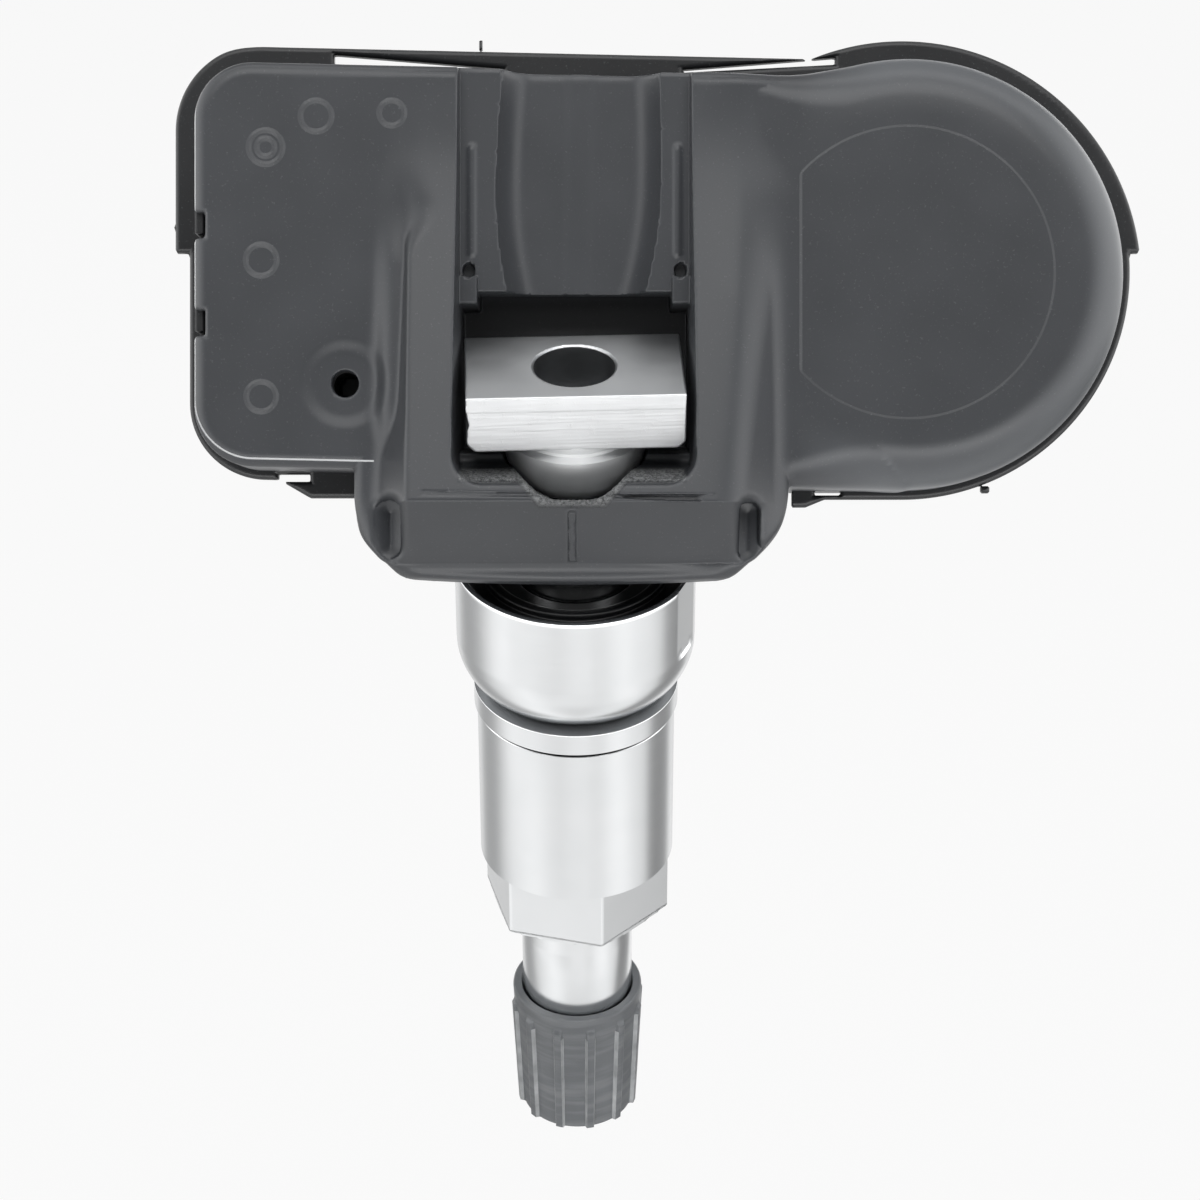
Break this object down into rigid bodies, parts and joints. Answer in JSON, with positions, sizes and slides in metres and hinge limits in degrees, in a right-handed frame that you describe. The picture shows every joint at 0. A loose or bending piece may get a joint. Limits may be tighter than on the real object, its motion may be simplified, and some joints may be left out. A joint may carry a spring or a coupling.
{
  "type": "tyre pressure sensor",
  "caption": "Tyre pressure sensor: moulded case with a round battery end, swivelling on a clamp-in metal valve with collar, seal, washer, long hexagon nut and ribbed cap.",
  "frame": {"origin": "on the valve axis, on the collar face that bears on the wheel rim", "axes": "+Z along the valve axis from the dust cap into the wheel, +X along the case towards its round battery end, +Y towards the back of the case; the case leans back from the valve axis by 33.5 degrees"},
  "size_m": [0.0671, 0.0327, 0.0811],
  "materials": {
    "grey_shell": "fine matte moulding",
    "black_cover": "fine matte moulding",
    "board_green": "solder mask",
    "cell_steel": "satin",
    "tab_steel": "satin",
    "chip_black": "moulded",
    "black_rubber": "smooth",
    "capacitor_tan": "fired ceramic",
    "ferrite": "sintered",
    "copper_wire": "enamelled",
    "antenna_brass": "satin",
    "milled_aluminium": "turned and milled",
    "satin_nickel": "satin plated",
    "washer_steel": "polished",
    "core_brass": "turned",
    "red_rubber": "smooth",
    "cap_grey": "fine matte moulding"
  },
  "bodies": {
    "valve": {"valve_stem": "milled_aluminium", "stem_seal": "black_rubber", "collar_shell": "satin_nickel", "core_body": "core_brass", "core_gasket": "red_rubber", "core_spring": "tab_steel"},
    "housing": {"housing_shell": "grey_shell", "rear_cover": "black_cover", "circuit_board": "board_green", "battery_cell": "cell_steel", "battery_tab_upper": "tab_steel", "battery_tab_lower": "tab_steel", "pressure_chip": "chip_black", "port_seal": "black_rubber", "controller_chip": "chip_black", "crystal_can": "tab_steel", "chip_capacitors": "capacitor_tan", "trigger_coil_core": "ferrite", "trigger_coil_winding": "copper_wire", "antenna_loop": "antenna_brass"},
    "washer": {"rim_washer": "washer_steel"},
    "nut": {"barrel_nut": "satin_nickel"},
    "cap_seal": {"cap_disc": "black_rubber"},
    "cap": {"valve_cap": "cap_grey"},
    "core_pin": {"core_pin": "core_brass", "core_cup": "black_rubber"}
  },
  "joints": [
    {"name": "housing_tilt", "type": "hinge", "parent": "valve", "child": "housing", "pos_m": [0, 0, 0.02], "axis": [1, 0, 0], "range_deg": [-6, 5]},
    {"name": "nut_travel", "type": "slide", "parent": "valve", "child": "washer", "axis": [0, 0, -1], "range_m": [0, 0.007]},
    {"name": "nut_turn", "type": "hinge", "parent": "washer", "child": "nut", "pos_m": [0, 0, -0.002], "axis": [0, 0, -1], "range_deg": [0, 2522]},
    {"name": "cap_travel", "type": "slide", "parent": "valve", "child": "cap_seal", "axis": [0, 0, -1], "range_m": [0, 0.0075]},
    {"name": "cap_turn", "type": "hinge", "parent": "cap_seal", "child": "cap", "pos_m": [0, 0, -0.0281], "axis": [0, 0, -1], "range_deg": [0, 3402]},
    {"name": "core_push", "type": "slide", "parent": "valve", "child": "core_pin", "axis": [0, 0, 1], "range_m": [0, 0.001], "stiffness_N_per_m": 300, "springref_m": -0.0015, "deforming": ["core_spring"]}
  ],
  "couplings": [
    {"joint": "nut_turn", "follows": "nut_travel", "rad_per_m": 6283.2},
    {"joint": "cap_turn", "follows": "cap_travel", "rad_per_m": 7913.3}
  ]
}
